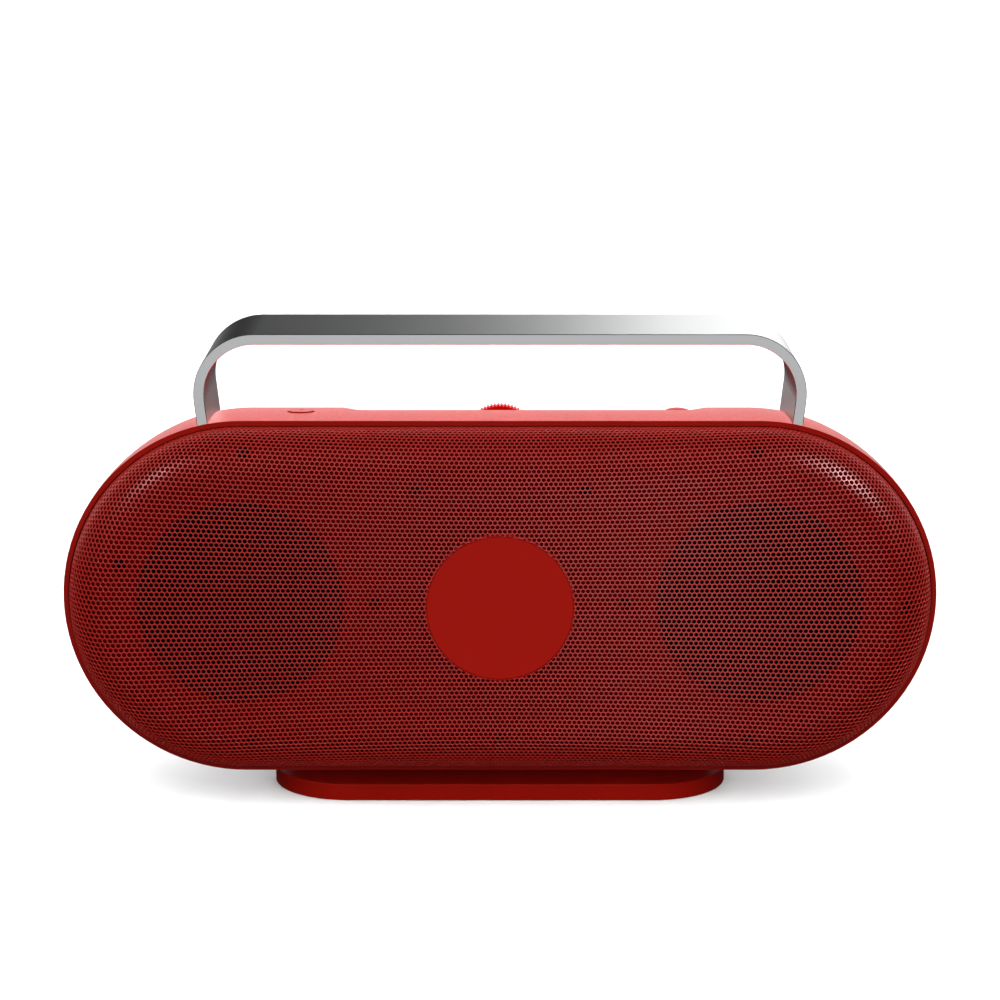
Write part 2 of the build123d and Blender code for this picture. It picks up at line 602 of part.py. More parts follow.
# ---------------------------------------------------------------- drivers
def half_roll(lips, roll, y, thickness, bulge):
    """A rubber surround turned about y: two flat lips joined by one half roll towards the front."""
    lip_inner, lip_outer = lips
    inner, outer = roll
    middle = (inner + outer) / 2
    back = y + thickness
    edges = Polyline((inner, y), (lip_inner, y), (lip_inner, back), (inner + thickness, back))
    edges += ThreePointArc((inner + thickness, back), (middle, back - bulge), (outer - thickness, back))
    edges += Polyline((outer - thickness, back), (lip_outer, back), (lip_outer, y), (outer, y))
    edges += ThreePointArc((outer, y), (middle, y - bulge), (inner, y))
    return revolve(make_face(edges), Axis.Y, 360)


def cap_arc(radius, base, rise):
    """The edge, a point part way and the top of a spherical cap about y that bulges towards the front."""
    sphere = (radius ** 2 + rise ** 2) / (2 * rise)
    centre_y = base + sphere - rise
    half_angle = atan2(radius, sphere - rise) / 2
    part_way = (sphere * sin(half_angle), centre_y - sphere * cos(half_angle))
    return (radius, base), part_way, (0, base - rise)


def dust_cap():
    """A thin dome that closes the middle of a cone."""
    outer = cap_arc(DUST_CAP_RADIUS, DUST_CAP_BASE, DUST_CAP_RISE)
    inner = cap_arc(DUST_CAP_RADIUS - DUST_CAP_THICK, DUST_CAP_BASE, DUST_CAP_RISE - DUST_CAP_THICK)
    edges = ThreePointArc(*outer) + Line(outer[2], inner[2])
    edges += ThreePointArc(*reversed(inner)) + Line(inner[0], outer[0])
    return revolve(make_face(edges), Axis.Y, 360)


def make_driver(side, x):
    here = Pos(x, 0, DRIVER_Z)
    seat = BAFFLE_THICK - BAFFLE_FRONT
    flange = seat + SURROUND_THICK
    flange_back = flange + BASKET_FLANGE
    tray_inner = BASKET_SEAT_RADIUS - BASKET_METAL
    spider_back = SPIDER_Y + SPIDER_THICK
    holes = [rod(DRIVER_SCREW_RADIUS + FIT, -BAFFLE_FRONT, 0, dx, dz) for dx, dz in DRIVER_SPOTS]
    basket = turned([(CONE_OPENING, flange), (BASKET_RADIUS, flange), (BASKET_RADIUS, flange_back),
                     (CONE_OPENING + FIT, flange_back), (SURROUND_LIP_RADIUS, BASKET_SHOULDER),
                     (BASKET_SEAT_RADIUS, BASKET_SHOULDER + 1), (BASKET_SEAT_RADIUS, BASKET_BACK),
                     (BASKET_THROAT_RADIUS, BASKET_BACK), (BASKET_THROAT_RADIUS, BASKET_BACK - BASKET_METAL),
                     (tray_inner, BASKET_BACK - BASKET_METAL), (tray_inner, spider_back),
                     (SPIDER_RADIUS + 2 * FIT, spider_back), (SURROUND_ROLL_RADIUS, flange + 1)])
    window = block((WINDOW_INNER, BASKET_RADIUS), WINDOW_DEPTHS, WINDOW_WIDTHS)
    windows = [Rot(0, 360 * i / BASKET_WINDOWS, 0) * window for i in range(BASKET_WINDOWS)]
    parts[f"{side}_basket"] = here * (basket - windows - holes)

    surround = half_roll((SURROUND_LIP_RADIUS, BASKET_RADIUS), (CONE_RADIUS, SURROUND_ROLL_RADIUS), seat,
                         SURROUND_THICK, SURROUND_ROLL)
    parts[f"{side}_surround"] = here * (surround - holes)

    cone_back = flange + CONE_THICK
    cone = turned([(CONE_RADIUS, flange), (CONE_RADIUS, cone_back), (CONE_RADIUS - CONE_EDGE, cone_back),
                   (CONE_NECK_RADIUS, CONE_NECK_Y), (FORMER_RADIUS, CONE_NECK_Y),
                   (FORMER_RADIUS, CONE_NECK_Y - CONE_NECK_THICK), (SURROUND_LIP_RADIUS - FIT, flange)])
    parts[f"{side}_cone"] = here * cone
    parts[f"{side}_dust_cap"] = here * dust_cap()

    bore = FORMER_RADIUS - FORMER_THICK
    coil = FORMER_RADIUS + COIL_THICK
    former = turned([(bore, FORMER_FRONT), (FORMER_RADIUS, FORMER_FRONT), (FORMER_RADIUS, COIL_FRONT),
                     (coil, COIL_FRONT), (coil, FORMER_END), (bore, FORMER_END)])
    parts[f"{side}_voice_coil"] = here * former
    parts[f"{side}_spider"] = here * ring(FORMER_RADIUS, SPIDER_RADIUS, SPIDER_Y, spider_back)

    magnet_front = BASKET_BACK + PLATE_THICK
    magnet_back = magnet_front + MAGNET_THICK
    yoke_back = magnet_back + PLATE_THICK
    parts[f"{side}_top_plate"] = here * ring(MAGNET_GAP_RADIUS, PLATE_RADIUS, BASKET_BACK, magnet_front)
    magnet = ring(MAGNET_INNER, MAGNET_RADIUS, magnet_front, magnet_back)
    parts[f"{side}_magnet"] = here * fillet(magnet.edges().filter_by(GeomType.CIRCLE), MAGNET_EDGE)
    yoke = turned([(0, BASKET_BACK), (POLE_RADIUS, BASKET_BACK), (POLE_RADIUS, magnet_back),
                   (PLATE_RADIUS, magnet_back), (PLATE_RADIUS, yoke_back - YOKE_EDGE),
                   (PLATE_RADIUS - YOKE_EDGE, yoke_back), (0, yoke_back)])
    parts[f"{side}_yoke"] = here * yoke

    one = Rot(-90, 0, 0) * screw(SMALL_HEAD, DRIVER_SCREW_RADIUS, DRIVER_SCREW_LENGTH)
    screws = [here * Pos(dx, flange_back, dz) * one for dx, dz in DRIVER_SPOTS]
    parts[f"{side}_driver_screws"] = Compound(screws)


# ---------------------------------------------------------------- controls
def make_dial():
    centre = Pos(0, 0, DIAL_Z)
    front, back = RECESS_Y - DIAL_WIDTH / 2, RECESS_Y + DIAL_WIDTH / 2
    wheel = rod(DIAL_RADIUS, front, back)
    wheel = chamfer(wheel.edges().filter_by(GeomType.CIRCLE), DIAL_EDGE)
    wheel -= [rod(DIAL_GROOVE_RADIUS, front - CUT, back + CUT, x, z)
              for x, z in on_circle(DIAL_TEETH, DIAL_RADIUS - DIAL_GROOVE_INSET, 90)]
    wheel -= ring(DIAL_HUB, DIAL_WEB, front - CUT, front + DIAL_WEB_DEPTH)
    wheel -= rod(SHAFT_RADIUS, front - CUT, back + CUT)
    parts["volume_dial"] = centre * wheel
    shaft_end = front + SHAFT_LENGTH
    parts["dial_shaft"] = centre * rod(SHAFT_RADIUS, front, shaft_end)

    half = ENCODER_SIZE / 2
    bush_front = back + BUSH_GAP
    body_front = bush_front + BUSH_LENGTH
    plate_y = shaft_end + ENCODER_BACK
    encoder = block((-half, half), (body_front, plate_y), (-half, half))
    encoder += rod(BUSH_RADIUS, bush_front, body_front + SEAM)
    encoder -= rod(SHAFT_RADIUS + FIT / 4, bush_front - CUT, shaft_end + SEAM)
    parts["dial_encoder"] = centre * encoder

    across = (-BRACKET_HALF_WIDTH, BRACKET_HALF_WIDTH)
    top = CONTROL_BOARD_TOP - BOARD_THICK
    bottom = DIAL_Z - BRACKET_DROP
    plate_back = plate_y + BRACKET_THICK
    bracket = block(across, (plate_y, plate_back), (bottom, top))
    bracket += block(across, (body_front, plate_back), (bottom - BRACKET_THICK, bottom))
    for side in (-1, 1):
        ear = (side * CONTROL_NOTCH_X, side * BRACKET_HALF_WIDTH)
        bracket += block(ear, (body_front, plate_back), (top - BRACKET_THICK, top))
    parts["dial_bracket"] = bracket


def make_buttons():
    power_x, power_y = POWER_BUTTON
    mark_y = power_y + POWER_MARK_Y
    mark_floor = crown_height(mark_y) + POWER_PROUD - POWER_MARK_DEPTH
    cap = post(POWER_RADIUS, POWER_SKIRT, ABOVE, power_x, power_y) & skin(-POWER_PROUD, 0.0)
    cap -= post(POWER_MARK_RADIUS, mark_floor, ABOVE, power_x, mark_y)
    cap += post(POWER_RADIUS + POWER_FLANGE, POWER_SKIRT, POWER_SKIRT + POWER_FLANGE, power_x, power_y)
    cap += post(STEM_RADIUS, BUTTON_FOOT, POWER_SKIRT + SEAM, power_x, power_y)
    parts["power_button"] = cap

    play_x, play_y = PLAY_BUTTON
    sphere = (PLAY_RADIUS ** 2 + PLAY_DOME ** 2) / (2 * PLAY_DOME)
    knob = post(PLAY_RADIUS, BUTTON_FOOT, PLAY_TOP, play_x, play_y)
    knob &= Pos(play_x, play_y, PLAY_TOP - sphere) * Sphere(sphere)
    knob += post(PLAY_RADIUS, BUTTON_FOOT, PLAY_TOP - PLAY_DOME, play_x, play_y)
    parts["play_button"] = knob

    half = SWITCH_SIZE / 2
    for name, (x, y) in (("power_switch", POWER_BUTTON), ("play_switch", PLAY_BUTTON)):
        body = block((x - half, x + half), (y - half, y + half), (CONTROL_BOARD_TOP, SWITCH_TOP - SWITCH_KEY))
        parts[name] = body + post(STEM_RADIUS, CONTROL_BOARD_TOP + SEAM, SWITCH_TOP, x, y)


def make_control_board():
    bottom = CONTROL_BOARD_TOP - BOARD_THICK
    through = (bottom - CUT, CONTROL_BOARD_TOP + CUT)
    board = block(CONTROL_BOARD_X, CONTROL_BOARD_Y, (bottom, CONTROL_BOARD_TOP))
    board = fillet(board.edges().filter_by(Axis.Z), CONTROL_BOARD_CORNER)
    board -= block((-CONTROL_NOTCH_X, CONTROL_NOTCH_X), (CONTROL_NOTCH_Y, BACK_DEPTH), through)
    chip_x, chip_y, chip_height = CONTROL_CHIP
    board += block(chip_x, chip_y, (CONTROL_BOARD_TOP - SEAM, CONTROL_BOARD_TOP + chip_height))
    board -= [post(THREAD_RADIUS + 2 * FIT, *through, x, y) for x, y in CONTROL_SCREWS]
    parts["control_board"] = board
    one = Rot(180, 0, 0) * screw(SMALL_HEAD, THREAD_RADIUS, CONTROL_SCREW_LENGTH)
    parts["control_board_screws"] = Compound([Pos(x, y, bottom) * one for x, y in CONTROL_SCREWS])


# ---------------------------------------------------------------- foot
def make_foot():
    top = FOOT_BOTTOM + FOOT_HEIGHT
    plinth = upright(SlotOverall(FOOT_LENGTH, FOOT_WIDTH), FOOT_BOTTOM, top, 0, FOOT_Y)
    plinth = fillet(plinth.edges().group_by(Axis.Z)[-1], FOOT_TOP_EDGE)
    plinth = fillet(plinth.edges().group_by(Axis.Z)[0], FOOT_BOTTOM_EDGE)
    neck = upright(SlotOverall(NECK_LENGTH, NECK_WIDTH), top - SEAM, NECK_TOP, 0, NECK_Y)
    plinth += neck - OUTER_FORM

    pad_top = PAD_THICK - CENTRE_HEIGHT
    well_length, well_width = FOOT_LENGTH - 2 * PAD_INSET, FOOT_WIDTH - 2 * PAD_INSET
    plinth -= upright(SlotOverall(well_length, well_width), FOOT_BOTTOM - CUT, pad_top, 0, FOOT_Y)
    pad = SlotOverall(well_length - 2 * FIT, well_width - 2 * FIT)
    parts["foot_pad"] = upright(pad, -CENTRE_HEIGHT, pad_top, 0, FOOT_Y)

    seat = FOOT_BOTTOM + FOOT_SCREW_SEAT
    head_radius, _ = FOOT_SCREW_HEAD
    for x, y in FOOT_SPOTS:
        plinth -= post(head_radius + 2 * FIT, FOOT_BOTTOM - CUT, seat, x, y)
        plinth -= post(FOOT_SCREW_RADIUS + FIT, FOOT_BOTTOM, NECK_TOP, x, y)
    parts["foot_plinth"] = plinth
    one = Rot(180, 0, 0) * screw(FOOT_SCREW_HEAD, FOOT_SCREW_RADIUS, FOOT_SCREW_LENGTH)
    parts["foot_screws"] = Compound([Pos(x, y, seat) * one for x, y in FOOT_SPOTS])


# ---------------------------------------------------------------- back
def make_passive_radiator():
    front = BACK_INSIDE - PASSIVE_FRAME_THICK
    frame = ring(PASSIVE_FRAME_INNER, PASSIVE_FRAME_RADIUS, front, BACK_INSIDE)
    frame -= [rod(THREAD_RADIUS + FIT / 2, front - CUT, BACK_DEPTH, x, z) for x, z in PASSIVE_SPOTS]
    parts["passive_frame"] = frame
    roll = half_roll(PASSIVE_LIPS, PASSIVE_ROLL, 0.0, PASSIVE_RUBBER, PASSIVE_BULGE)
    parts["passive_surround"] = Pos(0, front, 0) * mirror(roll, about=Plane.XZ)

    back = front + PASSIVE_DISC_THICK
    half = PASSIVE_DISC_THICK / 2
    dish = back - PASSIVE_DISH_DEPTH
    radius = PASSIVE_DISC_RADIUS
    parts["passive_disc"] = turned([(0, front), (radius, front), (radius, front + half),
                                    (radius - half, back), (PASSIVE_DISH_RADIUS, dish), (0, dish)])
    end = front - PASSIVE_WEIGHT_THICK
    side, slope = PASSIVE_WEIGHT_RADIUS, PASSIVE_WEIGHT_SLOPE
    parts["passive_weight"] = turned([(0, end), (side - slope, end), (side, end + slope), (side, front),
                                      (0, front)])
    one = Rot(90, 0, 0) * screw(SMALL_HEAD, THREAD_RADIUS, PASSIVE_SCREW_LENGTH)
    parts["passive_screws"] = Compound([Pos(x, front, z) * one for x, z in PASSIVE_SPOTS])


def make_ports():
    cover = back_slot(PORT_LENGTH - 2 * COVER_GAP, PORT_HEIGHT - 2 * COVER_GAP, PORT_FLOOR + COVER_SEAT,
                      BACK_DEPTH, PORT_X, PORT_Z)
    cover = fillet(cover.edges().group_by(Axis.Y)[-1], COVER_EDGE)
    cover -= back_slot(*COVER_GRIP, BACK_DEPTH - CUT, BACK_DEPTH + CUT, PORT_X, PORT_Z + COVER_GRIP_RISE)
    parts["port_cover"] = cover

    usb_front = PORT_FLOOR - USB_DEPTH
    usb_x = (USB_X - USB_TONGUE_HALF, USB_X + USB_TONGUE_HALF)
    tongue_z = (PORT_Z - USB_TONGUE_THICK / 2, PORT_Z + USB_TONGUE_THICK / 2)
    shell = back_slot(*USB_SHELL, usb_front, PORT_FLOOR, USB_X, PORT_Z)
    shell -= back_slot(*USB_MOUTH, usb_front + CUT, PORT_FLOOR + CUT, USB_X, PORT_Z)
    parts["usb_socket"] = shell + block(usb_x, (usb_front + SEAM, PORT_FLOOR - CUT), tongue_z)

    half = AUX_BODY / 2
    aux_front = PORT_FLOOR - AUX_DEPTH
    aux_back = PORT_FLOOR - PORT_WALL
    aux = block((AUX_X - half, AUX_X + half), (aux_front, aux_back), (PORT_Z - half, PORT_Z + half))
    aux += rod(AUX_COLLAR, aux_back - SEAM, PORT_FLOOR, AUX_X, PORT_Z)
    aux -= rod(AUX_RADIUS, aux_front + CUT, BACK_DEPTH, AUX_X, PORT_Z)
    parts["aux_socket"] = aux

    board_top = PORT_Z - half
    board_back = aux_back - FIT
    board_x = (PORT_X - PORT_BOARD_WIDTH / 2, PORT_X + PORT_BOARD_WIDTH / 2)
    _, usb_height = USB_SHELL
    board = block(board_x, (PORT_BOARD_FRONT, board_back), (board_top - BOARD_THICK, board_top))
    board += block(usb_x, (usb_front, board_back), (board_top - SEAM, PORT_Z - usb_height / 2))
    parts["port_board"] = board


# ---------------------------------------------------------------- battery and main board
def make_battery():
    half = CELL_LENGTH / 2
    along_x = Rot(0, 90, 0)
    cell = along_x * Cylinder(CELL_RADIUS, CELL_LENGTH)
    cell += Pos(half + CELL_TIP / 2, 0, 0) * along_x * Cylinder(CELL_TIP_RADIUS, CELL_TIP)
    parts["battery_cells"] = Compound([Pos(0, y, z) * cell for y, z in CELL_ROWS])

    depths, heights = zip(*CELL_ROWS)
    bay = CELL_RADIUS + FIT
    wall = bay + HOLDER_WALL
    bottom = min(heights) - wall
    end, bay_end = half + HOLDER_END, half + HOLDER_END_GAP
    frame = block((-end, end), (min(depths) - wall, max(depths) + wall), (bottom, max(heights) - HOLDER_DROP))
    frame -= block((-bay_end, bay_end), (min(depths) - bay, max(depths) + bay),
                   (min(heights) - CELL_RADIUS, max(heights) + bay))
    near, far = HOLDER_LEG
    for side in (-1, 1):
        leg = block((side * near, side * far), (min(depths), max(depths)), (-CENTRE_HEIGHT, bottom + SEAM))
        frame += leg & INNER_FORM
    parts["battery_holder"] = frame


def make_main_board():
    front, back = MAIN_BOARD_Y, MAIN_BOARD_Y + BOARD_THICK
    board = block((-MAIN_BOARD_X, MAIN_BOARD_X), (front, back), (MAIN_BOARD_BOTTOM, MAIN_BOARD_TOP))
    board = fillet(board.edges().filter_by(Axis.Y), MAIN_BOARD_CORNER)
    for x, z, width, height, thick in CHIPS:
        board += block((x - width / 2, x + width / 2), (back - SEAM, back + thick),
                       (z - height / 2, z + height / 2))
    board += [rod(CAPACITOR_RADIUS, back - SEAM, back + CAPACITOR_HEIGHT, x, z) for x, z in CAPACITORS]
    board -= [rod(THREAD_RADIUS + 2 * FIT, front - CUT, back + CUT, x, z) for x, z in MAIN_BOARD_SCREWS]
    parts["main_board"] = board

    sink = block(SINK_X, (back, back + SINK_BASE), SINK_Z)
    first_fin, _ = SINK_X
    for i in range(SINK_FINS):
        fin = first_fin + i * SINK_PITCH
        sink += block((fin, fin + SINK_FIN), (back + SINK_BASE - SEAM, back + SINK_HEIGHT), SINK_Z)
    parts["heat_sink"] = sink
    one = Rot(90, 0, 0) * screw(SMALL_HEAD, THREAD_RADIUS, MAIN_SCREW_LENGTH)
    parts["board_screws"] = Compound([Pos(x, front, z) * one for x, z in MAIN_BOARD_SCREWS])


# ---------------------------------------------------------------- build and write
make_handle()
make_housing()
make_grille_and_badge()
make_baffle()
make_driver("left", -DRIVER_X)
make_driver("right", DRIVER_X)
make_dial()
make_buttons()
make_control_board()
make_foot()
make_passive_radiator()
make_ports()
make_battery()
make_main_board()

for node, shape in parts.items():
    export_step(PLACE * shape, f"parts/{node}.step")
print(len(parts), "parts written")
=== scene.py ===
"""The party speaker's looks: perforated grille, moulded and metal finishes, floor, lights and camera."""
import json
import math

import bpy
import numpy as np
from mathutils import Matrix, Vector


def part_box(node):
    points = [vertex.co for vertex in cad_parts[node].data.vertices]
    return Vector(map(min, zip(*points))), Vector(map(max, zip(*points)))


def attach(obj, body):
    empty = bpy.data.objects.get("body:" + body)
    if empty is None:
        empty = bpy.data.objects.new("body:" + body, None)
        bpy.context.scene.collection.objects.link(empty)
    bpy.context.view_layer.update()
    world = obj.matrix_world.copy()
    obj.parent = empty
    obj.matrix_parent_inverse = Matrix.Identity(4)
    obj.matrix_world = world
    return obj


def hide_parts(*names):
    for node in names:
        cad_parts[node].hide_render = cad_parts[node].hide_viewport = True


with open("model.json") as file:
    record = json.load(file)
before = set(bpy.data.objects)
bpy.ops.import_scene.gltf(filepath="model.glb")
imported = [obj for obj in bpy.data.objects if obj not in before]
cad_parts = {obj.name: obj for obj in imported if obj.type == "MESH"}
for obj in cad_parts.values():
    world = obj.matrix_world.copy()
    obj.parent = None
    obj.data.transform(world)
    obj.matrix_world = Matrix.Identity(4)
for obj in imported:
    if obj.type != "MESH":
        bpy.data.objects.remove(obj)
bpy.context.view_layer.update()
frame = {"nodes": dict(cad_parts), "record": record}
nodes = frame["nodes"]

# ---------------------------------------------------------------- places taken from the frame, in metres
housing_low, housing_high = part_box("rear_housing")
grille_low, grille_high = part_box("front_grille")
badge_low, badge_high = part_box("grille_badge")
RIM_Y = housing_low.y
CENTRE_Z = (grille_low.z + grille_high.z) / 2
GRILLE_RADIUS = (grille_high.z - grille_low.z) / 2
HALF_SPAN = (grille_high.x - grille_low.x) / 2 - GRILLE_RADIUS
BULGE = RIM_Y - grille_low.y
FLAT_RADIUS = GRILLE_RADIUS - BULGE
FLANGE_OVERLAP = 0.0007    # the badge's flange reaches this far behind the edge of the grille's opening
BADGE_HOLE = (badge_high.x - badge_low.x) / 2 - FLANGE_OVERLAP

# ---------------------------------------------------------------- perforated grille
HOLE_PITCH = 0.00201
ROW_PITCH = 0.00181
HOLE_RADIUS = 0.00087
HOLE_LIP = 0.00005
LIP_DEPTH = 0.000065
SHEET_THICKNESS = 0.0005
END_STRETCH = 1.5
SPARE_ROWS = 6             # rows past the edge, for the stretch to draw on
HOLE_SIDES = 12
CELL_SIDES = 6
SKIRT_LENGTH = 0.003
EDGE_ARC = BULGE * math.pi / 2
SHEET_LIMIT = FLAT_RADIUS + EDGE_ARC + SKIRT_LENGTH
GRILLE_PANELS = 8
CRISP_ANGLE = math.radians(30)
NEARLY_ZERO = 1e-9

# ---------------------------------------------------------------- finishes
NOISE_SPAN = (0.3, 0.7)            # nearly all of the noise lies in here
NOISE_DETAIL = 2
GLOSS_SPREAD = 0.04
CHAMFER_NORMAL = math.sqrt(0.5)    # how far a 45 degree chamfer's normal leans to the front or back
CHAMFER_SPREAD = 0.2
CHAMFER_COLOUR = (0.93, 0.93, 0.94)
CHAMFER_ROUGHNESS = 0.07
RED = (0.235, 0.0045, 0.0020)
BLACK = (0.007, 0.007, 0.007)

# ---------------------------------------------------------------- stage and camera
FLOOR_HALF = 40.0
FLOOR_WHITE = (0.8, 0.8, 0.8, 1)
WORLD_GLOW = 0.02
SENSOR_WIDTH = 36.0        # millimetres, as is the lens
LENS = 108.0
CLIP = (0.05, 100.0)
CAMERA_DISTANCE = 1.2466
CAMERA_PITCH = math.radians(12.4)
AIM_ABOVE_CENTRE = 0.04185


# ---------------------------------------------------------------- node helpers
def new_material(name):
    """A new material, its node tree and its Principled shader."""
    mat = bpy.data.materials.new(name)
    mat.use_nodes = True
    return mat, mat.node_tree, mat.node_tree.nodes["Principled BSDF"]


def noise(tree, scale, detail=NOISE_DETAIL, rough=0.5, stretch=(1, 1, 1)):
    """Noise in object space, so it stays put on the piece."""
    coords = tree.nodes.new("ShaderNodeTexCoord")
    mapping = tree.nodes.new("ShaderNodeMapping")
    mapping.inputs["Scale"].default_value = stretch
    tex = tree.nodes.new("ShaderNodeTexNoise")
    tex.inputs["Scale"].default_value = scale
    tex.inputs["Detail"].default_value = detail
    tex.inputs["Roughness"].default_value = rough
    tree.links.new(coords.outputs["Object"], mapping.inputs["Vector"])
    tree.links.new(mapping.outputs["Vector"], tex.inputs["Vector"])
    return tex.outputs["Fac"]


def ramp(tree, value, span, low, high):
    """value from the span's two ends to low and high, clamped."""
    node = tree.nodes.new("ShaderNodeMapRange")
    for name, number in zip(("From Min", "From Max", "To Min", "To Max"), (*span, low, high)):
        node.inputs[name].default_value = number
    tree.links.new(value, node.inputs["Value"])
    return node.outputs["Result"]


def mix_colour(tree, factor, a, b):
    """Colour a where factor is 0, and b where it is 1."""
    node = tree.nodes.new("ShaderNodeMix")
    node.data_type = "RGBA"
    node.inputs["A"].default_value = (*a, 1)
    node.inputs["B"].default_value = (*b, 1)
    tree.links.new(factor, node.inputs["Factor"])
    return node.outputs["Result"]


def bump(tree, shader, height, distance, strength):
    """Relief of this depth, in metres."""
    node = tree.nodes.new("ShaderNodeBump")
    node.inputs["Distance"].default_value = distance
    node.inputs["Strength"].default_value = strength
    tree.links.new(height, node.inputs["Height"])
    tree.links.new(node.outputs["Normal"], shader.inputs["Normal"])


def shade(colour, factor):
    """The colour, made darker or lighter."""
    return tuple(min(1.0, c * factor) for c in colour)


def tone(tree, shader, value, colour, darker, lighter, span=NOISE_SPAN):
    """The base colour wanders with value between two shades of the colour."""
    factor = ramp(tree, value, span, 0, 1)
    mixed = mix_colour(tree, factor, shade(colour, darker), shade(colour, lighter))
    tree.links.new(mixed, shader.inputs["Base Color"])


def gloss(tree, shader, value, low, high):
    """The roughness wanders with value between low and high."""
    tree.links.new(ramp(tree, value, NOISE_SPAN, low, high), shader.inputs["Roughness"])


# ---------------------------------------------------------------- finishes
def moulded(name, colour, roughness, grain=2600.0, depth=0.00002, specular=0.5, vary=0.06):
    """Moulded plastic or rubber: fine spark-eroded grain and slight tone changes."""
    mat, tree, shader = new_material(name)
    tone(tree, shader, noise(tree, 28), colour, 1 - vary, 1 + vary)
    gloss(tree, shader, noise(tree, grain / 4), roughness - GLOSS_SPREAD, roughness + GLOSS_SPREAD)
    shader.inputs["Specular IOR Level"].default_value = specular
    bump(tree, shader, noise(tree, grain), depth, 0.6)
    return mat


def powder_coat(name, colour, roughness, specular):
    """Powder-coated metal: orange peel over a fine speckle."""
    mat, tree, shader = new_material(name)
    tone(tree, shader, noise(tree, 900), colour, 0.93, 1.07, span=(0.35, 0.65))
    gloss(tree, shader, noise(tree, 300), roughness - GLOSS_SPREAD, roughness + 0.05)
    shader.inputs["Specular IOR Level"].default_value = specular
    bump(tree, shader, noise(tree, 1500), 0.00002, 0.5)
    return mat


def on_chamfers(tree):
    """1 on the small 45 degree chamfers along a piece's front and back edges, 0 elsewhere."""
    geometry = tree.nodes.new("ShaderNodeNewGeometry")
    parts = tree.nodes.new("ShaderNodeSeparateXYZ")
    tree.links.new(geometry.outputs["True Normal"], parts.inputs["Vector"])
    facing = tree.nodes.new("ShaderNodeMath")
    facing.operation = "ABSOLUTE"
    tree.links.new(parts.outputs["Y"], facing.inputs[0])
    near = tree.nodes.new("ShaderNodeMath")
    near.operation = "COMPARE"
    near.inputs[1].default_value = CHAMFER_NORMAL
    near.inputs[2].default_value = CHAMFER_SPREAD
    tree.links.new(facing.outputs["Value"], near.inputs[0])
    return near.outputs["Value"]


def blasted_aluminium(name, colour, roughness):
    """Bead-blasted anodised aluminium whose small chamfers are polished."""
    mat, tree, shader = new_material(name)
    shader.inputs["Metallic"].default_value = 1.0
    chamfer = on_chamfers(tree)
    tree.links.new(mix_colour(tree, chamfer, colour, CHAMFER_COLOUR), shader.inputs["Base Color"])
    grain = ramp(tree, noise(tree, 3200, rough=0.6), (0.25, 0.75), roughness - 0.05, roughness + 0.06)
    polish = tree.nodes.new("ShaderNodeMix")
    polish.inputs["B"].default_value = CHAMFER_ROUGHNESS
    tree.links.new(chamfer, polish.inputs["Factor"])
    tree.links.new(grain, polish.inputs["A"])
    tree.links.new(polish.outputs["Result"], shader.inputs["Roughness"])
    bump(tree, shader, noise(tree, 2600, rough=0.6), 0.000012, 0.5)
    return mat


def bare_metal(name, colour, roughness, brushed=(1, 1, 1)):
    """Plated or turned metal with faint tool marks."""
    mat, tree, shader = new_material(name)
    shader.inputs["Metallic"].default_value = 1.0
    tone(tree, shader, noise(tree, 160, detail=3, rough=0.6, stretch=brushed), colour, 0.88, 1.08)
    gloss(tree, shader, noise(tree, 700, stretch=brushed), roughness - 0.06, roughness + 0.08)
    bump(tree, shader, noise(tree, 1200, stretch=brushed), 0.00001, 0.4)
    return mat


